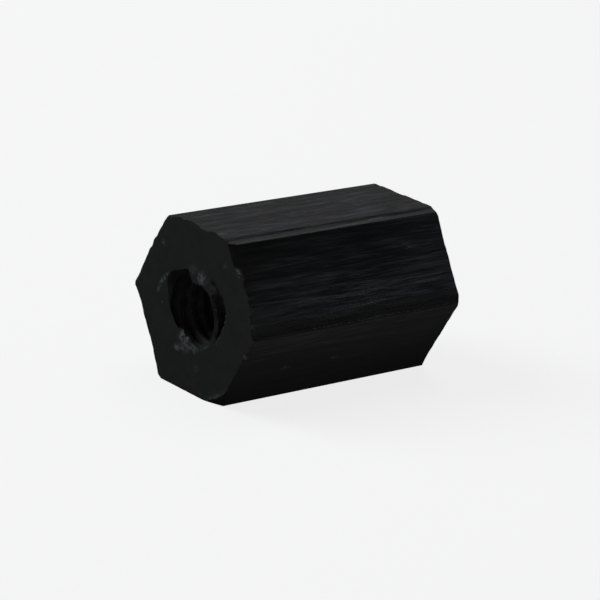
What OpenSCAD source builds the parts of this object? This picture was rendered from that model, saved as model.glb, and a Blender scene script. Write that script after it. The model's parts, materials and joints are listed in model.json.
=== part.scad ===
// Hex standoff: a short length of hexagonal bar, tapped right through along its
// axis so that a screw can enter from either end.
// It lies on one of its six flats. The bore runs along X, +Z is up, and the
// origin is the middle of the flat that the standoff rests on.

/* [Bar] */
// Width across the flats of the hexagonal bar
across_flats = 6; // [4.5:0.5:16]
// Length from end face to end face
body_length = 9.4; // [4:0.1:60]
// Radius that rounds the six long edges of the bar
long_edge_radius = 0.12; // [0.05:0.01:0.6]

/* [End chamfers] */
// How far the round edge of each end face lies outside the flats
end_face_overhang = 0.28; // [0.02:0.01:0.3]
// Slope of the turned end chamfer, from the plane of the end face
end_chamfer_slope = 35; // [15:1:60]

/* [Thread] */
// Nominal diameter of the thread, over the roots of the tapped hole
thread_diameter = 3; // [2:0.5:3.5]
// Pitch of the thread
thread_pitch = 0.5; // [0.35:0.05:0.8]

/* [Mouths] */
// How much wider the countersunk mouth is than the thread's nominal diameter
mouth_oversize = 0.3; // [0.1:0.05:0.8]
// Included angle of the countersink at each mouth
mouth_angle = 144; // [82:1:150]

/* [Hidden] */

// Depth of an internal 60 degree thread on the diameter, as a share of its pitch
THREAD_DEPTH = 1.0825;
HEX_SIDES = 6;
SLAB_PAIRS = 3;
STEP_ANGLE = 60;
// Facets of the round forms
ROUND = 96;
// Overlap that lets a cut break cleanly through a face
CUT = 0.5;

across_corners = across_flats / cos(STEP_ANGLE / 2);
// The rounded outline is a smaller hexagon with a border as wide as the edge radius
core_across_flats = across_flats - 2 * long_edge_radius;
core_across_corners = core_across_flats / cos(STEP_ANGLE / 2);
core_side = core_across_corners / 2;

end_face_radius = across_flats / 2 + end_face_overhang;
end_chamfer_depth = (across_corners / 2 - end_face_radius) * tan(end_chamfer_slope);

bore_radius = (thread_diameter - THREAD_DEPTH * thread_pitch) / 2;
mouth_radius = (thread_diameter + mouth_oversize) / 2;
mouth_depth = (mouth_radius - bore_radius) / tan(mouth_angle / 2);

bar_axis_height = across_flats / 2;

// Cross-section of the bar, with a flat facing up once the bar lies down
module bar_outline() {
    rotate(STEP_ANGLE / 2) circle(d = core_across_corners, $fn = HEX_SIDES);
    for (pair = [0 : SLAB_PAIRS - 1])
        rotate(pair * STEP_ANGLE)
            square([across_flats, core_side], center = true);
    for (corner = [0 : HEX_SIDES - 1])
        rotate(STEP_ANGLE / 2 + corner * STEP_ANGLE)
            translate([core_across_corners / 2, 0])
                circle(r = long_edge_radius, $fn = ROUND);
}

// Round blank whose coned ends turn the corners of the bar back
module turned_envelope() {
    reach = across_corners / 2;
    rotate_extrude($fn = ROUND)
        polygon([
            [0, 0],
            [end_face_radius, 0],
            [reach, end_chamfer_depth],
            [reach, body_length - end_chamfer_depth],
            [end_face_radius, body_length],
            [0, body_length]
        ]);
}

// Countersink that opens at the height of the plane it is placed on
module mouth_cut() {
    flare = CUT * tan(mouth_angle / 2);
    translate([0, 0, -CUT])
        cylinder(h = mouth_depth + CUT, r1 = mouth_radius + flare, r2 = bore_radius, $fn = ROUND);
}

// Bore at the crests of the thread, open at both ends
module tapped_bore() {
    translate([0, 0, -CUT])
        cylinder(h = body_length + 2 * CUT, r = bore_radius, $fn = ROUND);
    mouth_cut();
    translate([0, 0, body_length]) mirror([0, 0, 1]) mouth_cut();
}

module standoff() {
    color([0.08, 0.08, 0.085])
        translate([-body_length / 2, 0, bar_axis_height])
            rotate([0, 90, 0])
                difference() {
                    intersection() {
                        linear_extrude(height = body_length) bar_outline();
                        turned_envelope();
                    }
                    tapped_bore();
                }
}

standoff();
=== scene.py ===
import json
import math

import bmesh
import bpy
from mathutils import Matrix, Vector, noise


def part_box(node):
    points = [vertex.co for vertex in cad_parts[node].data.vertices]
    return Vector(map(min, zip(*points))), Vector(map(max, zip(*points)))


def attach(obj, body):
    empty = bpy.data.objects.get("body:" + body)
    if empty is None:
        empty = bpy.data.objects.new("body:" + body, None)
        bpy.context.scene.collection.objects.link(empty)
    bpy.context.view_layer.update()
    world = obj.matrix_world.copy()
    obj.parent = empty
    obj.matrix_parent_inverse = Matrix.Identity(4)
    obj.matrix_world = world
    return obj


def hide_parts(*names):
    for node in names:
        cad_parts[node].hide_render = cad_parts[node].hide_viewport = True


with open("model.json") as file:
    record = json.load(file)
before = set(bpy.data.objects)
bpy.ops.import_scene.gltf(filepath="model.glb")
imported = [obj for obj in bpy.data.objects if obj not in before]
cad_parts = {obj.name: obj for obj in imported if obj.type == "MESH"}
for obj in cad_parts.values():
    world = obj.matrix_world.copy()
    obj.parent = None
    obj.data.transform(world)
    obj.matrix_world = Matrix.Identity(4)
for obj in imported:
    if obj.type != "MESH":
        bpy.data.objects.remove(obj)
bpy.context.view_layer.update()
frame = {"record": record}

MM = 0.001
DEG = math.pi / 180
SIDES = 6
SIDE_ANGLE = 360 / SIDES * DEG

# ---------------------------------------------------------------- sizes from the frame
LOW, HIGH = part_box("standoff")
ACROSS_FLATS = HIGH.z - LOW.z
LENGTH = HIGH.x - LOW.x
AXIS_HEIGHT = (HIGH.z + LOW.z) / 2
# In millimetres, from the middle: to a flat, to an end, and from the middle of a flat to its edge
HALF_ACROSS = ACROSS_FLATS / MM / 2
HALF_LENGTH = LENGTH / MM / 2
HALF_SIDE = HALF_ACROSS * math.tan(SIDE_ANGLE / 2)
THREAD = next(m for m in frame["record"]["mounts"] if m["name"] == "thread")
CREST_RADIUS = THREAD["dims"]["r_mm"] * MM
# Included angle of the countersinks, in degrees. They take up what the straight wall of the bore leaves
MOUTH_ANGLE = 144
MOUTH_SLOPE = math.tan(MOUTH_ANGLE / 2 * DEG)
MOUTH_DEPTH = (LENGTH - THREAD["dims"]["length_mm"] * MM) / 2
MOUTH_RADIUS = CREST_RADIUS + MOUTH_DEPTH * MOUTH_SLOPE

# ---------------------------------------------------------------- sizes that the frame doesn't state
# Radius of each long edge, from the one at +Y round by the top. The upper front one was scraped broad
EDGE_RADII = [r * MM for r in (0.12, 0.12, 0.14, 0.10, 0.12, 0.12)]
PITCH = 0.5 * MM
# Way round the bore, from +Y towards +Z, at which the thread's groove leaves the near end face
THREAD_CLOCK = -130 * DEG
# Depth of an internal 60 degree thread on the radius, as a share of its pitch
THREAD_DEPTH = 0.5413
ROOT_RADIUS = CREST_RADIUS + THREAD_DEPTH * PITCH
# The near mouth is out of round: its radius at each twelfth of a turn, from +Y round by the top
NEAR_MOUTH_RADII = [r * MM for r in (1.42, 1.76, 1.50, 1.41, 1.34, 1.27, 1.26, 1.30, 1.38, 1.42, 1.38, 1.28)]
MOUTH_STEPS = len(NEAR_MOUTH_RADII)
# Radius to which each corner of an end face was turned back, from the corner at +Y round by the top,
# and the slope of that chamfer, from the plane of the end face
NEAR_CORNER_RADII = [r * MM for r in (3.41, 3.44, 3.40, 3.41, 3.12, 3.38)]
FAR_CORNER_RADII = [r * MM for r in (3.30, 3.38, 3.30, 3.30, 3.46, 3.30)]
CHAMFER_SLOPE = math.tan(40 * DEG)
# How far the edge of each end face is worn in between corners, from the upper back side round by the top,
# and how far along the bar for each millimetre in
NEAR_WEAR = [w * MM for w in (0.05, 0.04, 0.01, 0.03, 0.01, 0.16)]
FAR_WEAR = [w * MM for w in (0.05, 0.03, 0.10, 0.12, 0.05, 0.05)]
WEAR_ALONG = 0.65


def srgb(code):
    """A hex colour as the linear colour that a shader takes."""
    parts = [int(code[i : i + 2], 16) / 255 for i in (1, 3, 5)]
    return [c / 12.92 if c <= 0.04045 else ((c + 0.055) / 1.055) ** 2.4 for c in parts] + [1.0]


def put(tree, kind, feeds=(), **settings):
    """Adds a node, sets its settings, and feeds its sockets with links or plain values."""
    made = tree.nodes.new(kind)
    for name, value in settings.items():
        setattr(made, name, value)
    for socket, value in dict(feeds).items():
        if isinstance(value, bpy.types.Node):
            value = value.outputs[0]
        if isinstance(value, bpy.types.NodeSocket):
            tree.links.new(value, made.inputs[socket])
        else:
            made.inputs[socket].default_value = value
    return made


# ---------------------------------------------------------------- materials
def surface(name):
    """An empty material with its tree, shader and coordinates in millimetres."""
    made = bpy.data.materials.new(name)
    made.use_nodes = True
    tree = made.node_tree
    tree.nodes.clear()
    shader = put(tree, "ShaderNodeBsdfPrincipled")
    put(tree, "ShaderNodeOutputMaterial", {"Surface": shader})
    place = put(tree, "ShaderNodeTexCoord")
    in_mm = put(
        tree, "ShaderNodeVectorMath", {0: place.outputs["Object"], "Scale": 1 / MM}, operation="SCALE"
    )
    return made, tree, shader, in_mm


def ramp(tree, value, stops):
    """A colour ramp with a hex colour at each position."""
    made = put(tree, "ShaderNodeValToRGB", {"Fac": value})
    steps = made.color_ramp.elements
    while len(steps) < len(stops):
        steps.new(0.5)
    for step, (position, code) in zip(steps, stops):
        step.position = position
        step.color = srgb(code)
    return made.outputs["Color"]


def blended(tree, share, plain, other, **settings):
    """A share of the other colour laid over the plain one."""
    # The colour inputs of this node are numbers 6 and 7, after those for plain numbers and vectors
    return put(
        tree, "ShaderNodeMix", {"Factor": share, 6: plain, 7: other}, data_type="RGBA", **settings
    ).outputs[2]


def marked(tree, name):
    """What the mesh says about a place, under this name."""
    return put(tree, "ShaderNodeAttribute", attribute_name=name).outputs["Fac"]


def whitening_and_highlight(tree, in_mm, plain, torn="#59605f"):
    """The plain colour, paled where the nylon is torn or stretched and turns whitish, which is partly a
    painted highlight at the mouth and burrs, and where a painted highlight runs along the ridge.
    """
    mask = marked(tree, "whitening_and_highlight")
    crumbs = put(tree, "ShaderNodeTexNoise", {"Vector": in_mm, "Scale": 9.0, "Detail": 3.0})
    broken = put(tree, "ShaderNodeMapRange", {"Value": crumbs, "From Min": 0.35, "From Max": 0.6})
    share = put(tree, "ShaderNodeMath", {0: mask, 1: broken}, operation="MULTIPLY")
    return blended(tree, share, plain, srgb(torn))


def drawn_black_nylon():
    """Black nylon bar, drawn through a hexagonal die: fine lengthwise lines on a dull, near-black surface."""
    made, tree, shader, in_mm = surface("drawn_black_nylon")
    along = put(tree, "ShaderNodeSeparateXYZ", {0: in_mm}).outputs["X"]
    girth = marked(tree, "girth")
    scraped = marked(tree, "scraped")
    # Painted light and shade, read from the mesh
    painted_light_and_shade = marked(tree, "painted_light_and_shade")
    flat_at = put(tree, "ShaderNodeCombineXYZ", {"X": along, "Y": girth})
    # The lines wander sideways by up to this many millimetres over each few millimetres of length
    wander = 0.14
    drift_at = put(tree, "ShaderNodeMapping", {"Vector": flat_at, "Scale": (0.5, 0.7, 1.0)})
    drift = put(tree, "ShaderNodeTexNoise", {"Vector": drift_at, "Scale": 1.0, "Detail": 1.0})
    moved = put(tree, "ShaderNodeMath", {0: drift, 1: wander, 2: girth}, operation="MULTIPLY_ADD")
    lined_at = put(tree, "ShaderNodeCombineXYZ", {"X": along, "Y": moved})
    # Real die lines are a few hundredths of a millimetre apart; these are twice that, so that they show
    fine_at = put(tree, "ShaderNodeMapping", {"Vector": lined_at, "Scale": (0.7, 15.0, 1.0)})
    fine = put(
        tree, "ShaderNodeTexNoise", {"Vector": fine_at, "Scale": 1.0, "Detail": 3.0, "Roughness": 0.65}
    ).outputs["Fac"]
    broad_at = put(
        tree, "ShaderNodeMapping",
        {"Vector": lined_at, "Location": (0.0, 3.7, 0.0), "Scale": (0.22, 4.0, 1.0)},
    )
    broad = put(tree, "ShaderNodeTexNoise", {"Vector": broad_at, "Scale": 1.0, "Detail": 2.0}).outputs["Fac"]
    both = put(tree, "ShaderNodeMix", {"Factor": 0.4, 2: fine, 3: broad}).outputs[0]
    strength = put(tree, "ShaderNodeMapRange", {"Value": scraped, "To Min": 0.15, "To Max": 1.0}, clamp=False)
    swing = put(tree, "ShaderNodeMath", {0: both, 1: 0.5}, operation="SUBTRACT")
    # How far full painted light moves a place up the ramp of greys, whose middle is at a half
    painted_light_move = 0.14
    even = put(tree, "ShaderNodeMath", {0: painted_light_and_shade, 1: painted_light_move, 2: 0.5}, operation="MULTIPLY_ADD")
    lines = put(tree, "ShaderNodeMath", {0: swing, 1: strength, 2: even}, operation="MULTIPLY_ADD")
    greys = ((0.15, "#020202"), (0.36, "#080808"), (0.5, "#141414"), (0.64, "#2e2e2e"), (0.9, "#585858"))
    tint = ramp(tree, lines, greys)
    # Scraped nylon has a faint blue cast, which a smooth flat lacks
    cast = blended(tree, scraped, srgb("#ffffff"), srgb("#e0eaff"))
    cool = blended(tree, 1.0, tint, cast, blend_type="MULTIPLY")
    tree.links.new(whitening_and_highlight(tree, in_mm, cool), shader.inputs["Base Color"])
    rough = put(
        tree, "ShaderNodeMapRange",
        {"Value": lines, "From Min": 0.3, "From Max": 0.7, "To Min": 0.36, "To Max": 0.58},
    )
    tree.links.new(rough.outputs[0], shader.inputs["Roughness"])
    grooves = put(tree, "ShaderNodeBump", {"Height": lines, "Strength": 1.0, "Distance": 0.012 * MM})
    tree.links.new(grooves.outputs[0], shader.inputs["Normal"])
    return made


def faced_black_nylon():
    """Black nylon turned off square with a tool: an even, matt, dark grey end with a few pale specks."""
    made, tree, shader, in_mm = surface("faced_black_nylon")
    grain = put(tree, "ShaderNodeTexNoise", {"Vector": in_mm, "Scale": 2.2, "Detail": 5.0, "Roughness": 0.6})
    grained = ramp(tree, grain.outputs["Fac"], ((0.3, "#131413"), (0.7, "#1d1d1c")))
    # The end's colour is a little darker towards -Y and paler towards +Y
    sideways = put(tree, "ShaderNodeSeparateXYZ", {0: in_mm}).outputs["Y"]
    tone_across_y = put(
        tree, "ShaderNodeMapRange",
        {"Value": sideways, "From Min": -3.0, "From Max": 3.0, "To Min": 0.88, "To Max": 1.1},
    )
    tint = put(tree, "ShaderNodeVectorMath", {0: grained, "Scale": tone_across_y}, operation="SCALE")
    # About one cell of dust in four holds a pale speck
    rare_above = 0.72
    dust = put(tree, "ShaderNodeTexVoronoi", {"Vector": in_mm, "Scale": 1.1})
    near_dust = put(
        tree, "ShaderNodeMapRange", {"Value": dust.outputs["Distance"], "From Min": 0.05, "From Max": 0.03}
    )
    rare = put(tree, "ShaderNodeSeparateColor", {0: dust.outputs["Color"]}, mode="RGB")
    kept = put(tree, "ShaderNodeMath", {0: rare.outputs[0], 1: rare_above}, operation="GREATER_THAN")
    speck = put(tree, "ShaderNodeMath", {0: near_dust, 1: kept}, operation="MULTIPLY")
    dusty = blended(tree, speck, tint, srgb("#4a4e4c"))
    tree.links.new(whitening_and_highlight(tree, in_mm, dusty), shader.inputs["Base Color"])
    shader.inputs["Roughness"].default_value = 0.62
    tooth = put(
        tree, "ShaderNodeBump", {"Height": grain.outputs["Fac"], "Strength": 0.6, "Distance": 0.01 * MM}
    )
    tree.links.new(tooth.outputs[0], shader.inputs["Normal"])
    return made


def tapped_black_nylon():
    """Black nylon cut by a tap: darker than the flats, and torn and whitish at the mouths. It is painted
    darker at the first turn and paler deeper in: painted shade and painted light inside the bore.
    """
    made, tree, shader, in_mm = surface("tapped_black_nylon")
    grain = put(tree, "ShaderNodeTexNoise", {"Vector": in_mm, "Scale": 4.0, "Detail": 4.0})
    tint = ramp(tree, grain.outputs["Fac"], ((0.3, "#161616"), (0.7, "#242424")))
    # Painted shade and light: the first turn is painted dark, and deeper in the cut is painted paler,
    # standing in for the light that reaches inside the bore
    along = put(tree, "ShaderNodeSeparateXYZ", {0: in_mm}).outputs["X"]
    painted_tone = put(
        tree, "ShaderNodeMapRange",
        {"Value": along, "From Min": -4.6, "From Max": -3.7, "To Min": 0.4, "To Max": 2.2},
    )
    turned = put(tree, "ShaderNodeVectorMath", {0: tint, "Scale": painted_tone}, operation="SCALE").outputs[0]
    tree.links.new(whitening_and_highlight(tree, in_mm, turned), shader.inputs["Base Color"])
    shader.inputs["Roughness"].default_value = 0.65
    shader.inputs["Specular IOR Level"].default_value = 0.2
    return made


def painted_shade_chip_nylon():
    """Black nylon chipped off in one cut: smooth, and painted the darkest of the surfaces, as painted shade
    on the chip's facets.
    """
    made, _, shader, _ = surface("painted_shade_chip_nylon")
    shader.inputs["Base Color"].default_value = srgb("#0e0e0e")
    shader.inputs["Roughness"].default_value = 0.5
    shader.inputs["Specular IOR Level"].default_value = 0.4
    return made


def torn_black_nylon():
    """Black nylon torn open beside the thread: rough and without shine, so that it reads as shade."""
    made, tree, shader, in_mm = surface("torn_black_nylon")
    tree.links.new(whitening_and_highlight(tree, in_mm, srgb("#232323")), shader.inputs["Base Color"])
    shader.inputs["Roughness"].default_value = 0.85
    shader.inputs["Specular IOR Level"].default_value = 0.1
    return made


# ---------------------------------------------------------------- the bar, by its rule
def new_tree(name, takes, gives):
    """An empty geometry tree with its named inputs and outputs."""
    tree = bpy.data.node_groups.new(name, "GeometryNodeTree")
    for label, kind in takes.items():
        tree.interface.new_socket(label, in_out="INPUT", socket_type=kind)
    for label, kind in gives.items():
        tree.interface.new_socket(label, in_out="OUTPUT", socket_type=kind)
    return tree


def reckon(tree, operation, *terms):
    """One step of arithmetic on fields or numbers."""
    return put(tree, "ShaderNodeMath", dict(enumerate(terms)), operation=operation).outputs[0]


def share_of(tree, value, low, high):
    """How far a value has gone from low to high, from 0 to 1."""
    return put(tree, "ShaderNodeMapRange", {"Value": value, "From Min": low, "From Max": high}).outputs[0]


def pick(tree, which, values):
    """The value whose place in the list is given."""
    made = put(tree, "GeometryNodeIndexSwitch", data_type="FLOAT")
    while len(made.index_switch_items) < len(values):
        made.index_switch_items.new()
    tree.links.new(reckon(tree, "FLOOR", which), made.inputs["Index"])
    for i, value in enumerate(values):
        made.inputs[1 + i].default_value = value
    return made.outputs[0]


# Share of each side's columns that lies on its flat; the rest follows the rounded edges
STRAIGHT_SHARE = 0.9


def hex_outline():
    """Cross-section of the bar: the angle, reach and girth of a point part way round it."""
    number = "NodeSocketFloat"
    tree = new_tree(
        "hex_outline",
        {"Share": number, "Across Flats": number},
        {"Angle": number, "Reach": number, "Girth": number},
    )
    given = put(tree, "NodeGroupInput").outputs
    half_side = math.tan(SIDE_ANGLE / 2)
    sides_in = reckon(tree, "MULTIPLY", given["Share"], SIDES)
    side = reckon(tree, "FLOOR", sides_in)
    swing = reckon(tree, "MULTIPLY_ADD", reckon(tree, "FRACT", sides_in), 2.0, -1.0)
    away = reckon(tree, "ABSOLUTE", swing)
    straight = share_of(tree, away, 0.0, STRAIGHT_SHARE)
    turn = reckon(tree, "MULTIPLY", share_of(tree, away, STRAIGHT_SHARE, 1.0), SIDE_ANGLE / 2)
    nearest = reckon(tree, "MODULO", reckon(tree, "ROUND", sides_in), SIDES)
    edge_radius = pick(tree, nearest, EDGE_RADII)
    core = reckon(tree, "SUBTRACT", reckon(tree, "MULTIPLY", given["Across Flats"], 0.5), edge_radius)
    out = reckon(tree, "MULTIPLY_ADD", reckon(tree, "COSINE", turn), edge_radius, core)
    curved = reckon(tree, "MULTIPLY", reckon(tree, "SINE", turn), edge_radius)
    flat = reckon(tree, "MULTIPLY", straight, reckon(tree, "MULTIPLY", core, half_side))
    aside = reckon(tree, "MULTIPLY", reckon(tree, "ADD", flat, curved), reckon(tree, "SIGN", swing))
    lean = reckon(tree, "ARCTAN2", aside, out)
    angle = reckon(tree, "MULTIPLY_ADD", side, SIDE_ANGLE, lean)
    arm = put(tree, "ShaderNodeCombineXYZ", {"X": out, "Y": aside})
    reach = put(tree, "ShaderNodeVectorMath", {0: arm}, operation="LENGTH").outputs["Value"]
    side_width = reckon(tree, "MULTIPLY", given["Across Flats"], half_side)
    girth = reckon(tree, "MULTIPLY_ADD", side, side_width, aside)
    put(tree, "NodeGroupOutput", {"Angle": angle, "Reach": reach, "Girth": girth})
    return tree


# The bore has one column for each few of the skin's, and meets them at the mouths
BORE_COLUMNS_PER_SIDE = 20
SKIN_COLUMNS_PER_SIDE = 4 * BORE_COLUMNS_PER_SIDE
FACE_ROWS = 20
EDGE_ROWS = 5
SIDE_ROWS = 30
# Rows crowd towards the ends of the bar, where the wear is
SIDE_CROWDING = 1.7
# Rows crowd towards the mouths, where the tearing is
FACE_CROWDING = 1.6
# Thread profile in sixteenths of a pitch: crest, flank, root, flank
ROWS_PER_TURN = 16
CREST_END, ROOT_START, ROOT_END = 4 / 16, 9 / 16, 11 / 16
# What each face of the bar is, for its material
DRAWN, FACED, TAPPED = 0, 1, 2
# In metres: a place this near an end is on it, and points this near each other are one
ON_END = 1e-9
WELD = 1e-7
# How quickly the patches of wear change round the bar, and from the near end to the far one
PATCHES_ROUND, PATCHES_APART = 3.0, 5.0
# Least wear in a patch, and how much more there is in the most worn one, as shares of the side's wear
LEAST_WEAR, MORE_WEAR = 0.2, 1.6
# How sharply the wear dies away at a corner, and how gently it leaves the end face
CORNER_FALLOFF = 6.0
WORN_CURVE = 1.7


def tapped_hex_bar():
    """A length of hexagonal bar with chamfered ends and a threaded, countersunk bore, as one closed skin."""
    number, stuff = "NodeSocketFloat", "NodeSocketMaterial"
    sizes = (
        "Across Flats", "Length", "Chamfer Slope", "Wear Along",
        "Mouth Radius", "Mouth Slope", "Crest Radius", "Root Radius", "Pitch", "Thread Clock",
    )
    takes = {label: number for label in sizes} | {label: stuff for label in ("Drawn", "Faced", "Tapped")}
    tree = new_tree("tapped_hex_bar", takes, {"Geometry": "NodeSocketGeometry"})
    given = put(tree, "NodeGroupInput").outputs
    at = put(tree, "ShaderNodeSeparateXYZ", {0: put(tree, "GeometryNodeInputPosition")}).outputs
    off = reckon(tree, "ABSOLUTE", at["Y"])
    end = reckon(tree, "SIGN", at["Y"])
    is_far = reckon(tree, "GREATER_THAN", at["Y"], 0.0)

    # Way round the bar. The innermost ring of each end face takes the bore's coarser columns
    end_rows = FACE_ROWS + EDGE_ROWS
    half_rows = end_rows + SIDE_ROWS
    bore_columns = SIDES * BORE_COLUMNS_PER_SIDE
    share = reckon(tree, "ADD", at["X"], 0.5)
    column = reckon(tree, "ROUND", reckon(tree, "MULTIPLY", share, bore_columns))
    nearest = reckon(tree, "DIVIDE", column, bore_columns)
    at_rim = reckon(tree, "GREATER_THAN", off, 1 - 0.5 / half_rows)
    taken = put(tree, "ShaderNodeMix", {"Factor": at_rim, 2: share, 3: nearest}).outputs[0]
    outline = put(
        tree, "GeometryNodeGroup",
        {"Share": taken, "Across Flats": given["Across Flats"]},
        node_tree=hex_outline(),
    ).outputs
    reach = outline["Reach"]
    clock = reckon(tree, "ADD", outline["Angle"], SIDE_ANGLE / 2)
    across = reckon(tree, "COSINE", clock)
    up = reckon(tree, "SINE", clock)
    half_length = reckon(tree, "MULTIPLY", given["Length"], 0.5)
    axis_height = reckon(tree, "MULTIPLY", given["Across Flats"], 0.5)
    mouth_step = reckon(tree, "MULTIPLY", clock, MOUTH_STEPS / math.tau)
    past_step = reckon(tree, "FRACT", mouth_step)
    gone = put(tree, "ShaderNodeMapRange", {"Value": past_step}, interpolation_type="SMOOTHSTEP")
    steps = [reckon(tree, "ADD", mouth_step, ahead) for ahead in (0.0, 1.0)]
    here, beyond = (
        pick(tree, reckon(tree, "FLOORED_MODULO", step, MOUTH_STEPS), NEAR_MOUTH_RADII) for step in steps
    )
    near_mouth = put(tree, "ShaderNodeMix", {"Factor": gone, 2: here, 3: beyond}).outputs[0]

    # Each corner of each end is turned back to its own radius
    around = reckon(tree, "DIVIDE", clock, SIDE_ANGLE)
    corner = reckon(tree, "MODULO", reckon(tree, "ROUND", around), SIDES)
    which = reckon(tree, "MULTIPLY_ADD", is_far, SIDES, corner)
    corner_radius = pick(tree, which, NEAR_CORNER_RADII + FAR_CORNER_RADII)

    # Between corners, the edge of the end face is worn, more in some places than in others
    round_at = put(
        tree, "ShaderNodeCombineXYZ",
        {"X": reckon(tree, "MULTIPLY", across, PATCHES_ROUND),
         "Y": reckon(tree, "MULTIPLY", up, PATCHES_ROUND),
         "Z": reckon(tree, "MULTIPLY", end, PATCHES_APART)},
    )
    patchy = put(
        tree, "ShaderNodeTexNoise", {"Vector": round_at, "Scale": 1.2, "Detail": 3.0, "Roughness": 0.55}
    )
    side = reckon(tree, "MODULO", reckon(tree, "FLOOR", around), SIDES)
    side_wear = pick(tree, reckon(tree, "MULTIPLY_ADD", is_far, SIDES, side), NEAR_WEAR + FAR_WEAR)
    on_side_swing = reckon(tree, "MULTIPLY_ADD", reckon(tree, "FRACT", around), 2.0, -1.0)
    off_middle = reckon(tree, "ABSOLUTE", on_side_swing)
    clear_of_corner = reckon(tree, "SUBTRACT", 1.0, reckon(tree, "POWER", off_middle, CORNER_FALLOFF))
    unevenness = reckon(tree, "MULTIPLY_ADD", patchy.outputs["Fac"], MORE_WEAR, LEAST_WEAR)
    wear = reckon(tree, "MULTIPLY", reckon(tree, "MULTIPLY", side_wear, clear_of_corner), unevenness)
    worn_along = reckon(tree, "MULTIPLY", wear, given["Wear Along"])
    face_reach = reckon(tree, "MINIMUM", reckon(tree, "SUBTRACT", reach, wear), corner_radius)
    cut = reckon(tree, "MULTIPLY", reckon(tree, "SUBTRACT", reach, corner_radius), given["Chamfer Slope"])
    depth = reckon(tree, "MAXIMUM", cut, worn_along)
    is_worn = reckon(tree, "GREATER_THAN", worn_along, cut)

    # Skin: end faces, chamfers and flats
    skin = put(
        tree, "GeometryNodeMeshGrid",
        {"Size X": 1.0, "Size Y": 2.0, "Vertices X": SIDES * SKIN_COLUMNS_PER_SIDE + 1,
         "Vertices Y": 2 * half_rows + 1},
    )
    inward = reckon(tree, "SUBTRACT", 1.0, off)
    on_face = reckon(tree, "POWER", share_of(tree, inward, 0.0, FACE_ROWS / half_rows), FACE_CROWDING)
    on_edge = share_of(tree, inward, FACE_ROWS / half_rows, end_rows / half_rows)
    on_side = reckon(tree, "POWER", share_of(tree, inward, end_rows / half_rows, 1.0), SIDE_CROWDING)
    # A worn edge leaves the end face gently and meets the flat at a crease; a turned one is straight
    eased = reckon(tree, "POWER", on_edge, WORN_CURVE)
    edge_in = put(tree, "ShaderNodeMix", {"Factor": is_worn, 2: on_edge, 3: eased}).outputs[0]
    mouth = put(
        tree, "ShaderNodeMix", {"Factor": is_far, 2: near_mouth, 3: given["Mouth Radius"]}
    ).outputs[0]
    face_radius = reckon(tree, "MULTIPLY_ADD", reckon(tree, "SUBTRACT", face_reach, mouth), on_face, mouth)
    radius = reckon(tree, "MULTIPLY_ADD", reckon(tree, "SUBTRACT", reach, face_reach), on_edge, face_radius)
    edge_run = reckon(tree, "MULTIPLY", depth, edge_in)
    run = reckon(tree, "MULTIPLY_ADD", reckon(tree, "SUBTRACT", half_length, depth), on_side, edge_run)
    skin_x = reckon(tree, "MULTIPLY", reckon(tree, "SUBTRACT", half_length, run), end)
    skin_y = reckon(tree, "MULTIPLY", radius, across)
    skin_z = reckon(tree, "MULTIPLY_ADD", radius, up, axis_height)
    is_face = reckon(tree, "GREATER_THAN", off, 1 - (end_rows + 0.5) / half_rows + 1 / half_rows)
    sorted_skin = put(
        tree, "GeometryNodeStoreNamedAttribute",
        {"Geometry": skin, "Name": "kind", "Value": reckon(tree, "MULTIPLY", is_face, FACED)},
        data_type="FLOAT", domain="FACE",
    )
    measured = put(
        tree, "GeometryNodeStoreNamedAttribute",
        {"Geometry": sorted_skin, "Name": "girth", "Value": reckon(tree, "DIVIDE", outline["Girth"], MM)},
        data_type="FLOAT", domain="POINT",
    )
    skin_at = put(tree, "ShaderNodeCombineXYZ", {"X": skin_x, "Y": skin_y, "Z": skin_z})
    skin_set = put(tree, "GeometryNodeSetPosition", {"Geometry": measured, "Position": skin_at})

    # Bore: each row follows the thread's helix, one turn to a pitch
    turns = math.ceil(LENGTH / PITCH) + 2
    bore = put(
        tree, "GeometryNodeMeshGrid",
        {"Size X": 1.0, "Size Y": float(turns), "Vertices X": bore_columns + 1,
         "Vertices Y": turns * ROWS_PER_TURN + 1},
    )
    turn = reckon(tree, "ADD", at["Y"], turns / 2 - 1)
    wound = reckon(tree, "MULTIPLY_ADD", clock, 1 / math.tau, turn)
    # The root's middle is at depth 0 at the thread's clock
    root_middle = (ROOT_START + ROOT_END) / 2
    start = reckon(tree, "MULTIPLY_ADD", given["Thread Clock"], 1 / math.tau, root_middle)
    started = reckon(tree, "SUBTRACT", wound, start)
    advance = reckon(tree, "MAXIMUM", reckon(tree, "MULTIPLY", started, given["Pitch"]), 0.0)
    depth_in = reckon(tree, "MINIMUM", advance, given["Length"])
    from_far = reckon(tree, "SUBTRACT", given["Length"], depth_in)
    near_cone = reckon(tree, "SUBTRACT", near_mouth, reckon(tree, "MULTIPLY", depth_in, given["Mouth Slope"]))
    far_cone = reckon(
        tree, "SUBTRACT", given["Mouth Radius"], reckon(tree, "MULTIPLY", from_far, given["Mouth Slope"])
    )
    cone = reckon(tree, "MAXIMUM", near_cone, far_cone)
    phase = reckon(tree, "FRACT", turn)
    groove = reckon(
        tree, "SUBTRACT", share_of(tree, phase, CREST_END, ROOT_START), share_of(tree, phase, ROOT_END, 1.0)
    )
    thread_depth = reckon(tree, "SUBTRACT", given["Root Radius"], given["Crest Radius"])
    thread = reckon(tree, "MULTIPLY_ADD", groove, thread_depth, given["Crest Radius"])
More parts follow.
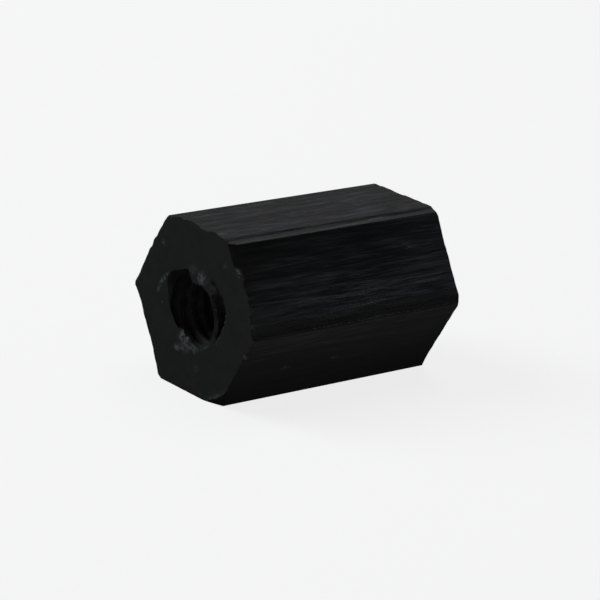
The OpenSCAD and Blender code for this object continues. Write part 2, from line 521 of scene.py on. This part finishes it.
    # The mouth cuts the thread away, and the last ring lies on the mouth's rim
    at_near = reckon(tree, "LESS_THAN", depth_in, ON_END)
    at_far = reckon(tree, "LESS_THAN", from_far, ON_END)
    cut_wall = reckon(tree, "MAXIMUM", thread, cone)
    near_wall = put(tree, "ShaderNodeMix", {"Factor": at_near, 2: cut_wall, 3: near_mouth}).outputs[0]
    wall = put(tree, "ShaderNodeMix", {"Factor": at_far, 2: near_wall, 3: given["Mouth Radius"]}).outputs[0]
    bore_x = reckon(tree, "SUBTRACT", depth_in, half_length)
    bore_y = reckon(tree, "MULTIPLY", wall, across)
    bore_z = reckon(tree, "MULTIPLY_ADD", wall, up, axis_height)
    bore_at = put(tree, "ShaderNodeCombineXYZ", {"X": bore_x, "Y": bore_y, "Z": bore_z})
    bore_set = put(tree, "GeometryNodeSetPosition", {"Geometry": bore, "Position": bore_at})
    sorted_bore = put(
        tree, "GeometryNodeStoreNamedAttribute",
        {"Geometry": bore_set, "Name": "kind", "Value": float(TAPPED)}, data_type="FLOAT", domain="FACE",
    )

    both = put(tree, "GeometryNodeJoinGeometry")
    tree.links.new(skin_set.outputs[0], both.inputs[0])
    tree.links.new(sorted_bore.outputs[0], both.inputs[0])
    closed = put(tree, "GeometryNodeMergeByDistance", {"Geometry": both, "Distance": WELD})
    named = put(tree, "GeometryNodeInputNamedAttribute", {"Name": "kind"}, data_type="FLOAT")
    kind = named.outputs["Attribute"]
    made = put(tree, "GeometryNodeRealizeInstances", {"Geometry": closed})
    for code, label in ((DRAWN, "Drawn"), (FACED, "Faced"), (TAPPED, "Tapped")):
        alike = put(tree, "ShaderNodeMath", {0: kind, 1: float(code), 2: 0.1}, operation="COMPARE")
        made = put(
            tree, "GeometryNodeSetMaterial",
            {"Geometry": made, "Selection": alike, "Material": given[label]},
        )
    put(tree, "NodeGroupOutput", {"Geometry": made})
    return tree


def grow(name, tree, values):
    """Runs a geometry tree with these values and returns the result as a plain mesh object."""
    seed = bpy.data.objects.new(name + "_seed", bpy.data.meshes.new(name + "_seed"))
    bpy.context.collection.objects.link(seed)
    grown = seed.modifiers.new("grown", "NODES")
    grown.node_group = tree
    sockets = {s.name: s.identifier for s in tree.interface.items_tree if s.in_out == "INPUT"}
    for label, value in values.items():
        grown[sockets[label]] = value
    graph = bpy.context.evaluated_depsgraph_get()
    mesh = bpy.data.meshes.new_from_object(seed.evaluated_get(graph))
    mesh.name = name
    bpy.data.objects.remove(seed)
    made = bpy.data.objects.new(name, mesh)
    bpy.context.collection.objects.link(made)
    return made


# ---------------------------------------------------------------- wear
# How strongly each flat is scraped, from the upper back one round by the top and the front
SCRAPED = (0.7, 4.5, 0.7, 0.12, 0.5, 0.7)
UPPER_BACK, TOP, UPPER_FRONT, LOWER_FRONT = 0, 1, 2, 3
# Patterns of the scraping: how quickly each changes along and across a flat, and from flat to flat, and its
# start. The first moves the lines aside; the others are fine lines, broad ones and single deep scores
WANDERING = (0.6, 0.6, 7.0, 0)
FINE_LINES = (1.2, 9.0, 3.0, 20)
BROAD_LINES = (0.25, 4.0, 5.0, 40)
SCORES = (0.7, 7.0, 2.0, 60)
# How far the lines move aside, and how deep each kind is where a flat is scraped at strength 1
WANDER = 0.08
FINE_DEPTH, BROAD_DEPTH, SCORE_DEPTH = 0.007, 0.006, 0.03
# A score shows only where its pattern is above this
SCORE_ABOVE = 0.25
# Lines on the top lie wider apart than on the other flats, by this share
TOP_CLOSENESS = 0.4
# The upper front flat is scraped less deep towards its lower edge: by how much, and from where to where
LOWER_SMOOTHING = 0.9
LOWER_SMOOTH_FROM, LOWER_SMOOTH_TO = 0.5, 1.3
# Its lines also look fainter there
LOWER_FAINTNESS = 0.5
LOWER_FAINT_FROM, LOWER_FAINT_TO = 0.8, 1.6
# Lines look fainter at the near end: their strength there, what they gain, and where they have gained it
NEAR_STRENGTH, NEAR_GAIN = 0.7, 0.3
FULL_STRENGTH_AT = 3.0
# How far from the edges of a flat the scraping starts to fade and is gone. It digs only into what lies at
# most this far below the flat
EDGE_CLEAR, EDGE_FADED = 0.16, 0.04
FLAT_WITHIN = 0.02
# Painted light and shade: how much darker the top is painted, and what paints the two front flats paler or
# darker
TOP_DARKER = 0.5
LOW_PALER, FAR_PALER = 0.55, 0.4
FRONT_DARKER, MIDDLE_DARKER, NEAR_DARKER, LOW_EDGE_DARKER = 0.05, 0.2, 0.25, 0.85
LOWER_FRONT_PALER, LOWER_FRONT_LOW_DARKER, HIGH_EDGE_DARKER = 0.1, 0.5, 0.65
# Where each of these sets in, and where it is whole: the ends as shares of the length, the edges in
# millimetres
NEAR_PART, FAR_PART = (0.1, 0.4), (0.6, 0.9)
LOW_EDGE, HIGH_EDGE = (1.15, 1.6), (0.03, 0.10)
# The top is worn down beside the ridge above the front, in a step: its distance from the sharp ridge at the
# near and the far end, half its width, its drop, and how the worn strip leans below it
STEP_NEAR, STEP_FAR = 0.31, 0.25
STEP_HALF_WIDTH = 0.06
STEP_DROP = 0.08
STEP_LEAN = 0.05
# Width of the painted highlight, a whitish band at the foot of the ridge, on the front, and its strength
RIDGE_HIGHLIGHT_WIDTH = 0.12
RIDGE_HIGHLIGHT_STRENGTH = 0.30
# The step and the band lie outside this radius, near the long edges
RIDGE_RADIUS = 3.0
# A dent in the upper front flat: its place along the bar and across the flat, its reach and its depth
DENT_AT = (2.97, -0.63)
DENT_REACH = (0.22, 0.10)
DENT_DEPTH = 0.09

# Torn places at the near end: angle round the bore from +Y, radius, how the radius changes with the angle,
# distance from the end, half extents in degrees and millimetres, how far each stands proud, and its
# whiteness, which is whitish torn nylon and partly a painted highlight
TORN = (
    (17, 1.91, -0.0103, 0.0, 13, 0.07, 0.03, 2.0),
    (85, 1.45, 0.0, 0.0, 8, 0.08, 0.03, 1.4),
    (106, 1.30, 0.0, 0.0, 9, 0.20, 0.05, 3.0),
    (125, 1.42, 0.0, 0.0, 8, 0.12, 0.02, 0.5),
    (45, 2.72, 0.0, 0.0, 2.0, 0.09, 0.02, 0.9),
    (127, 2.62, 0.0, 0.0, 2.0, 0.09, 0.02, 0.5),
    (259, 2.04, 0.0, 0.0, 3.0, 0.10, 0.02, 0.6),
    (213, 3.02, 0.0, 2.2, 2.0, 0.10, 0.0, 0.2),
    (212, 3.02, 0.0, 4.5, 1.2, 0.10, 0.0, 0.2),
    (138, 3.02, 0.0, 7.67, 1.5, 0.10, 0.0, 0.4),
    (288, 1.16, 0.0, 0.0, 14, 0.20, 0.05, 1.8),
    (270, 1.36, 0.0, 0.0, 16, 0.13, 0.03, 1.8),
    (268, 1.24, 0.0, 0.5, 9, 0.08, 0.0, 0.7),
    (286, 1.55, 0.0, 0.0, 11, 0.14, 0.03, 1.2),
    (296, 1.80, 0.0, 0.0, 5, 0.09, 0.02, 1.2),
    (236, 1.38, 0.0, 0.0, 14, 0.04, 0.01, 0.5),
    (240, 3.09, 0.0, 0.0, 12, 0.05, 0.02, 0.8),
    (105.3, 3.11, 0.0, 0.38, 2.0, 0.08, 0.0, 1.2),
    (138.5, 3.18, 0.0, 0.0, 1.0, 0.09, 0.04, 1.6),
    (194, 3.07, 0.0, 0.0, 1.6, 0.06, 0.03, 0.6),
    (211, 3.09, 0.0, 0.0, 2.5, 0.05, 0.03, 0.5),
)
TORN_LENGTH = 0.16
# A torn place is whole out to the first of these shares of its reach, gone at the second, and not looked for
# beyond the third. Its raggedness lies about the fourth, and swings by the fifth
TORN_WHOLE, TORN_GONE, TORN_LIMIT = 0.4, 1.5, 1.6
TORN_EVEN, TORN_SWING = 0.7, 0.6
TORN_GRAIN = 6

# Burrs pushed out over the edges of the near end, and places chipped in: place across the flat and height
BURRS = {
    UPPER_BACK: ((-1.1, 0.02), (-0.55, 0.06), (-0.05, 0.09), (0.45, 0.10), (0.95, 0.09), (1.3, 0.07),
                 (1.65, 0.02)),
    TOP: ((-1.6, 0.0), (-1.16, 0.09), (-0.5, 0.17), (-0.23, 0.14), (0.0, 0.11), (0.3, 0.06), (0.45, 0.05),
          (0.75, 0.12), (1.0, 0.11), (1.27, 0.05), (1.62, 0.0)),
    UPPER_FRONT: ((-1.73, -0.13), (-0.86, -0.13), (-0.66, 0.0), (-0.56, 0.24), (-0.05, 0.12), (0.3, 0.21),
                  (0.8, 0.03), (1.1, 0.0), (1.45, -0.15), (1.73, -0.1)),
}
BURR_LENGTH = 0.22
CHIP_LENGTH = 0.25
# How uneven a burr is, and how quickly that changes along it. It stands on what is higher than the first of
# these and is whole at the second
BURR_UNEVENNESS, BURR_GRAIN = 0.4, 4
BURR_FOOT, BURR_WHOLE = 2.6, 2.95
# The facets of the front chip: how high they lie, and between which places across the flat
CHIPPED_ABOVE = 2.8
CHIPPED_FROM, CHIPPED_TO = -1.68, -0.78
# The groove that the first thread tore open outside the mouth's rim: how far off the rim it starts and ends
# at each angle round the bore, and its depth
TORN_GROOVE_INNER = (
    (116, 0.20), (127, 0.12), (147, 0.06), (162, 0.02), (187, 0.0), (200, 0.06), (212, 0.2), (240, 0.22),
)
TORN_GROOVE_OUTER = (
    (116, 0.20), (127, 0.36), (147, 0.50), (162, 0.58), (173, 0.51), (187, 0.38), (200, 0.29), (212, 0.30),
    (225, 0.30), (240, 0.22),
)
TORN_GROOVE_DEPTH = 0.34
# The groove has its whole depth where it is this wide, and is left out where it is narrower than the second.
# Its depth falls with this power of its width in between
GROOVE_FULL_WIDTH, GROOVE_LEAST_WIDTH = 0.5, 0.02
GROOVE_FALL = 1.5
# How wide its inner and outer walls are, and how deep it is where it gets its own finish
INNER_WALL, OUTER_WALL = 0.08, 0.10
GROOVE_FINISHED_FROM = 0.04
# Torn nylon that hangs in over the near mouth's rim: angle round the bore and overhang
RAGS = (
    (73, 0.0), (79, 0.40), (94, 0.42), (110, 0.27), (126, 0.21), (139, 0.15), (170, 0.09), (190, 0.04),
    (205, 0.02), (220, 0.02), (234, 0.02), (250, 0.10), (264, 0.26), (277, 0.40), (290, 0.38), (303, 0.42),
    (313, 0.20), (322, 0.08), (340, 0.04), (355, 0.0),
)
RAG_LENGTH = 0.10
# How uneven the rags are, over how many degrees that changes, and how far out from the rim they pull the face
RAG_UNEVENNESS, RAG_GRAIN = 0.25, 5
RAG_PULL, RAG_LIMIT = 0.35, 1.0
# A place this near the end face, in millimetres, is on it
TOUCHING = 1e-4


def ease(value, start, end):
    """Goes smoothly from 0 at start to 1 at end."""
    t = min(max((value - start) / (end - start), 0.0), 1.0)
    return t * t * (3 - 2 * t)


def between(points, place):
    """Height at a place on a line through points, and nothing beyond its ends."""
    for (start, low), (end, high) in zip(points, points[1:]):
        if start <= place <= end:
            return low + (high - low) * (place - start) / (end - start)
    return 0.0


def rim_radius(clock):
    """Radius in millimetres of the near mouth's rim at an angle round the bore."""
    step, gone = divmod(clock * MOUTH_STEPS / math.tau, 1.0)
    here, beyond = (NEAR_MOUTH_RADII[int(step + ahead) % MOUTH_STEPS] / MM for ahead in (0, 1))
    return here + (beyond - here) * ease(gone, 0.0, 1.0)


def torn_groove_depth(clock, radius):
    """Depth in millimetres of the torn groove beside the near mouth."""
    inner = between(TORN_GROOVE_INNER, math.degrees(clock))
    outer = between(TORN_GROOVE_OUTER, math.degrees(clock))
    if outer - inner < GROOVE_LEAST_WIDTH:
        return 0.0
    off_rim = radius - rim_radius(clock)
    inner_wall = ease(off_rim, inner, inner + INNER_WALL)
    outer_wall = 1 - ease(off_rim, outer - OUTER_WALL, outer)
    fullness = min((outer - inner) / GROOVE_FULL_WIDTH, 1.0) ** GROOVE_FALL
    return TORN_GROOVE_DEPTH * fullness * inner_wall * outer_wall


def scraping(x, aside, side, pattern):
    """Height of one pattern of the scraping at a place on a flat, from -1 to 1."""
    along, over, apart, start = pattern
    return noise.noise((x * along, aside * over, side * apart + start))


def scrape_depth(x, across, side):
    """Depth in millimetres of the lengthwise lines on a flat, at a place on it in millimetres."""
    closeness = TOP_CLOSENESS if side == TOP else 1.0
    aside = (across + WANDER * scraping(x, across, side, WANDERING)) * closeness
    fine = scraping(x, aside, side, FINE_LINES)
    broad = scraping(x, aside, side, BROAD_LINES)
    score = max(scraping(x, aside, side, SCORES) - SCORE_ABOVE, 0.0)
    depth = SCRAPED[side] * (FINE_DEPTH * fine + BROAD_DEPTH * broad + SCORE_DEPTH * score)
    if side == UPPER_FRONT:
        depth *= 1 - LOWER_SMOOTHING * ease(across, LOWER_SMOOTH_FROM, LOWER_SMOOTH_TO)
        along_dent = (x - DENT_AT[0]) / DENT_REACH[0]
        across_dent = (across - DENT_AT[1]) / DENT_REACH[1]
        depth += DENT_DEPTH * math.exp(-(along_dent**2) - across_dent**2)
    return depth


def share_along(x):
    """How far along the bar a place is, from 0 at the near end to 1 at the far one."""
    return x * MM / LENGTH + 0.5


def step_place(x):
    """Distance in millimetres of the worn step from the sharp ridge, at a place along the bar."""
    return STEP_NEAR + (STEP_FAR - STEP_NEAR) * share_along(x)


def step_drop(x, off_ridge):
    """How far in millimetres the top is worn down at a distance from the sharp ridge."""
    off_step = step_place(x) - off_ridge
    return STEP_DROP * ease(off_step, -STEP_HALF_WIDTH, STEP_HALF_WIDTH) + STEP_LEAN * max(off_step, 0.0)


def paint_light_and_shade(x, across, side):
    """How much paler, up to 1, or darker, down to -1, a place on a flat is painted: painted light and shade
    that set each flat's level and the gradients on the front ones.
    """
    low_down = (across + HALF_SIDE) / (2 * HALF_SIDE)
    far_along = share_along(x)
    # The top is painted darker all over: painted shade
    if side == TOP:
        return -TOP_DARKER
    if side == UPPER_FRONT:
        past_near = ease(far_along, *NEAR_PART)
        middle = past_near * (1 - (1 - low_down) * ease(far_along, *FAR_PART))
        low_edge = ease(across, *LOW_EDGE)
        painted_tone = LOW_PALER * low_down + FAR_PALER * far_along * (1 - low_down)
        return (
            painted_tone - FRONT_DARKER - MIDDLE_DARKER * middle - NEAR_DARKER * (1 - past_near)
            - LOW_EDGE_DARKER * low_edge
        )
    # The lower front is painted darker towards its bottom and at its high edge: painted shade
    if side == LOWER_FRONT:
        high_edge = 1 - ease(across + HALF_SIDE, *HIGH_EDGE)
        return LOWER_FRONT_PALER - LOWER_FRONT_LOW_DARKER * low_down - HIGH_EDGE_DARKER * high_edge
    return 0.0


def burr_height(height, across, side, from_near):
    """How far a place at the near end is pushed out, or chipped in, across its side."""
    raised = between(BURRS[side], across)
    if raised < 0:
        most = HALF_ACROSS + raised * (1 - from_near / CHIP_LENGTH)
        return min(most - height, 0.0)
    raised *= 1 + BURR_UNEVENNESS * noise.noise((across * BURR_GRAIN, side, 9))
    return raised * ((1 - ease(from_near, 0.0, BURR_LENGTH)) * ease(height, BURR_FOOT, BURR_WHOLE))


def seen_across(y, z, side):
    """Height over a side from the bar's axis, and place across it, for a place in millimetres."""
    facing = (side + 0.5) * SIDE_ANGLE
    return y * math.cos(facing) + z * math.sin(facing), z * math.cos(facing) - y * math.sin(facing)


def wear_down(made):
    """Scrapes the flats, tears the near mouth and marks what the materials read."""
    mesh = made.data
    marks = ("scraped", "painted_light_and_shade", "whitening_and_highlight")
    for mark in marks:
        mesh.attributes.new(mark, "FLOAT", "POINT")
    scraped, painted_light_and_shade, whitening_and_highlight_at = (mesh.attributes[mark].data for mark in marks)
    for vertex in mesh.vertices:
        x, y, z = vertex.co.x / MM, vertex.co.y / MM, (vertex.co.z - AXIS_HEIGHT) / MM
        clock = math.atan2(z, y) % math.tau
        radius = math.hypot(y, z)
        side = int(clock / SIDE_ANGLE) % SIDES
        facing = (side + 0.5) * SIDE_ANGLE
        height, across = seen_across(y, z, side)
        from_near = x + HALF_LENGTH
        on_end = from_near < TOUCHING
        off_ridge = HALF_SIDE - across if side == TOP else across + HALF_SIDE
        lower_edge = ease(across, LOWER_FAINT_FROM, LOWER_FAINT_TO) if side == UPPER_FRONT else 0.0
        strength = NEAR_STRENGTH + NEAR_GAIN * ease(from_near, 0.0, FULL_STRENGTH_AT)
        scraped[vertex.index].value = SCRAPED[side] * (1 - LOWER_FAINTNESS * lower_edge) * strength
        # Painted light and shade, flat by flat
        painted_light_and_shade[vertex.index].value = paint_light_and_shade(x, across, side)
        if from_near < CHIP_LENGTH and side in BURRS:
            raised = burr_height(height, across, side, from_near)
            y += raised * math.cos(facing)
            z += raised * math.sin(facing)
        rim = rim_radius(clock)
        degrees = math.degrees(clock)
        rag = between(RAGS, degrees) * (1 + RAG_UNEVENNESS * noise.noise((degrees / RAG_GRAIN, 0, 3)))
        if on_end:
            x += torn_groove_depth(clock, radius)
            rag *= 1 - ease(radius - rim, 0.0, RAG_PULL)
        if from_near < RAG_LENGTH and radius < rim + (RAG_LIMIT if on_end else TOUCHING):
            inward = 1 - rag * (1 - ease(from_near, 0.0, RAG_LENGTH)) / radius
            y *= inward
            z *= inward
        if height > HALF_ACROSS - FLAT_WITHIN:
            fade = 1 - ease(abs(across), HALF_SIDE - EDGE_CLEAR, HALF_SIDE - EDGE_FADED)
            dig = scrape_depth(x, across, side) * fade
            y -= dig * math.cos(facing)
            z -= dig * math.sin(facing)
        pale = 0.0
        if side in (TOP, UPPER_FRONT) and radius > RIDGE_RADIUS and not on_end:
            z = min(z, HALF_ACROSS - step_drop(x, HALF_SIDE + y))
            if side == UPPER_FRONT:
                # A painted highlight along the foot of the ridge, laid into the whitening mark
                pale = RIDGE_HIGHLIGHT_STRENGTH * (1 - ease(off_ridge, RIDGE_HIGHLIGHT_WIDTH / 2, RIDGE_HIGHLIGHT_WIDTH * 1.5))
        new_radius = math.hypot(y, z)
        for middle, reach, lean, start, half_angle, half_reach, proud, whiteness in TORN:
            turn = (degrees - middle + 180) % 360 - 180
            off = new_radius - reach - lean * turn
            away = math.hypot(turn / half_angle, off / half_reach, (from_near - start) / TORN_LENGTH)
            if away < TORN_LIMIT:
                grain = noise.noise((y * TORN_GRAIN, z * TORN_GRAIN, from_near * TORN_GRAIN))
                here = (1 - ease(away, TORN_WHOLE, TORN_GONE)) * (TORN_EVEN + TORN_SWING * grain)
                x -= proud * max(here, 0.0)
                pale = max(pale, whiteness * here)
        # Whitening: whitish torn nylon that is partly a painted highlight, and the painted ridge highlight
        whitening_and_highlight_at[vertex.index].value = min(pale, 1.0)
        vertex.co = (x * MM, y * MM, z * MM + AXIS_HEIGHT)


def sort_worn_faces(made, painted_shade_chip, torn):
    """Gives the chipped facets of the near end a colour painted dark as painted shade, and the torn groove
    beside its mouth its own finish.
    """
    mesh = made.data
    painted_shade_chip_slot = len(mesh.materials)
    mesh.materials.append(painted_shade_chip)
    torn_slot = len(mesh.materials)
    mesh.materials.append(torn)
    for face in mesh.polygons:
        y, z = face.center.y / MM, (face.center.z - AXIS_HEIGHT) / MM
        from_near = face.center.x / MM + HALF_LENGTH
        height, across = seen_across(y, z, UPPER_FRONT)
        in_chip = height > CHIPPED_ABOVE and CHIPPED_FROM < across < CHIPPED_TO
        # The chip's facets take a colour painted dark: painted shade
        if in_chip and TOUCHING < from_near < CHIP_LENGTH:
            face.material_index = painted_shade_chip_slot
        in_groove = torn_groove_depth(math.atan2(z, y) % math.tau, math.hypot(y, z)) > GROOVE_FINISHED_FROM
        if in_groove and from_near < TORN_GROOVE_DEPTH:
            face.material_index = torn_slot


# Edges that turn by more than this look sharp
CREASE = 20 * DEG


def build_standoff():
    """The whole standoff as one closed mesh."""
    made = grow(
        "hex_standoff",
        tapped_hex_bar(),
        {
            "Across Flats": ACROSS_FLATS, "Length": LENGTH,
            "Chamfer Slope": CHAMFER_SLOPE, "Wear Along": WEAR_ALONG,
            "Mouth Radius": MOUTH_RADIUS, "Mouth Slope": MOUTH_SLOPE,
            "Crest Radius": CREST_RADIUS, "Root Radius": ROOT_RADIUS, "Pitch": PITCH,
            "Thread Clock": THREAD_CLOCK,
            "Drawn": drawn_black_nylon(), "Faced": faced_black_nylon(), "Tapped": tapped_black_nylon(),
        },
    )
    wear_down(made)
    sort_worn_faces(made, painted_shade_chip_nylon(), torn_black_nylon())
    skin = bmesh.new()
    skin.from_mesh(made.data)
    bmesh.ops.recalc_face_normals(skin, faces=skin.faces)
    skin.to_mesh(made.data)
    skin.free()
    made.data.shade_smooth()
    made.data.set_sharp_from_angle(angle=CREASE)
    return made


# ---------------------------------------------------------------- studio
def studio_floor():
    """A pale round floor whose rim sweeps up into a wall."""
    flat, bend, wall, steps = 0.30, 0.15, 0.6, 64
    profile = [(0.0, 0.0), (flat, 0.0)]
    profile += [(flat + bend * math.sin(a * DEG), bend - bend * math.cos(a * DEG)) for a in range(10, 91, 10)]
    profile.append((flat + bend, wall))
    sweep = bmesh.new()
    rings = []
    for reach, height in profile:
        count = 1 if reach == 0 else steps
        turns = [math.tau * i / steps for i in range(count)]
        rings.append([sweep.verts.new((reach * math.cos(t), reach * math.sin(t), height)) for t in turns])
    for inner, outer in zip(rings, rings[1:]):
        for i in range(steps):
            j = (i + 1) % steps
            if len(inner) == 1:
                sweep.faces.new((inner[0], outer[i], outer[j]))
            else:
                sweep.faces.new((inner[i], outer[i], outer[j], inner[j]))
    mesh = bpy.data.meshes.new("studio_floor")
    sweep.to_mesh(mesh)
    sweep.free()
    mesh.shade_smooth()
    floor = bpy.data.objects.new("studio_floor", mesh)
    bpy.context.collection.objects.link(floor)
    made = bpy.data.materials.new("pale_card")
    made.use_nodes = True
    tree = made.node_tree
    tree.nodes.clear()
    card = put(
        tree, "ShaderNodeBsdfPrincipled",
        {"Base Color": srgb("#7c7c7c"), "Roughness": 0.9, "Specular IOR Level": 0.0,
         "Emission Color": srgb("#ffffff"), "Emission Strength": 0.817},
    )
    put(tree, "ShaderNodeOutputMaterial", {"Surface": card})
    mesh.materials.append(made)
    floor.visible_glossy = False
    floor.visible_diffuse = False
    floor.visible_shadow = False


def soft_light(name, place, aim, width, height, watts, colour="#ffffff", lit=None):
    """A rectangular softbox at a place, turned to face a point. It lights everything, or only one piece."""
    lamp = bpy.data.lights.new(name, "AREA")
    lamp.shape = "RECTANGLE"
    lamp.size = width
    lamp.size_y = height
    lamp.energy = watts
    lamp.color = srgb(colour)[:3]
    holder = bpy.data.objects.new(name, lamp)
    holder.location = place
    holder.rotation_euler = (Vector(aim) - Vector(place)).to_track_quat("-Z", "Y").to_euler()
    holder.visible_camera = False
    bpy.context.collection.objects.link(holder)
    if lit:
        only = bpy.data.collections.new(name + "_lights")
        only.objects.link(lit)
        holder.light_linking.receiver_collection = only


def place_camera(aim, azimuth, elevation, roll, distance, lens):
    """A camera that looks at aim from an azimuth and elevation, turned by roll about its own axis."""
    level = Vector((math.cos(azimuth), math.sin(azimuth), 0))
    back = Vector((
        math.sin(azimuth) * math.cos(elevation),
        -math.cos(azimuth) * math.cos(elevation),
        math.sin(elevation),
    ))
    upright = back.cross(level)
    right = level * math.cos(roll) + upright * math.sin(roll)
    top = back.cross(right)
    turned = Matrix((right, top, back)).transposed().to_4x4()
    view = bpy.data.cameras.new("camera")
    view.lens = lens
    view.sensor_width = 36.0
    view.clip_start = 0.01
    view.clip_end = 10.0
    holder = bpy.data.objects.new("camera", view)
    holder.matrix_world = Matrix.Translation(Vector(aim) + back * distance) @ turned
    bpy.context.collection.objects.link(holder)
    bpy.context.scene.camera = holder


standoff = build_standoff()
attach(standoff, "root")
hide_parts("standoff")

studio_floor()
CENTRE = Vector((0, 0, AXIS_HEIGHT))
# Name, place, aim, width, height and watts of each softbox
soft_light("back_left_softbox", (-0.140, 0.168, 0.174), CENTRE, 0.16, 0.16, 0.41, "#f7faff")
soft_light("left_softbox", (-0.271, 0.027, 0.068), CENTRE, 0.20, 0.20, 0.03)
soft_light("front_left_softbox", (-0.200, -0.160, 0.040), CENTRE, 0.16, 0.16, 0.03)
soft_light("overhead_softbox", (0.092, 0.039, 0.262), CENTRE, 0.16, 0.16, 0.12)
soft_light("back_right_softbox", (0.142, 0.170, 0.170), CENTRE, 0.20, 0.20, 0.033)
soft_light("front_strip", (0.000, -0.008, 0.002), CENTRE, 0.018, 0.001, 0.0006, lit=standoff)
bpy.data.objects["front_strip"].visible_glossy = False

world = bpy.data.worlds.new("dim_studio")
world.use_nodes = True
world.node_tree.nodes["Background"].inputs["Color"].default_value = srgb("#1d1d1d")
world.node_tree.nodes["Background"].inputs["Strength"].default_value = 1.0
bpy.context.scene.world = world
bpy.context.scene.view_settings.view_transform = "Standard"

place_camera(
    CENTRE + Vector((0.0004, -0.0194, -0.0440)) * ACROSS_FLATS,
    azimuth=-40.49 * DEG, elevation=18.26 * DEG, roll=4.67 * DEG, distance=17.78 * ACROSS_FLATS, lens=180.0,
)
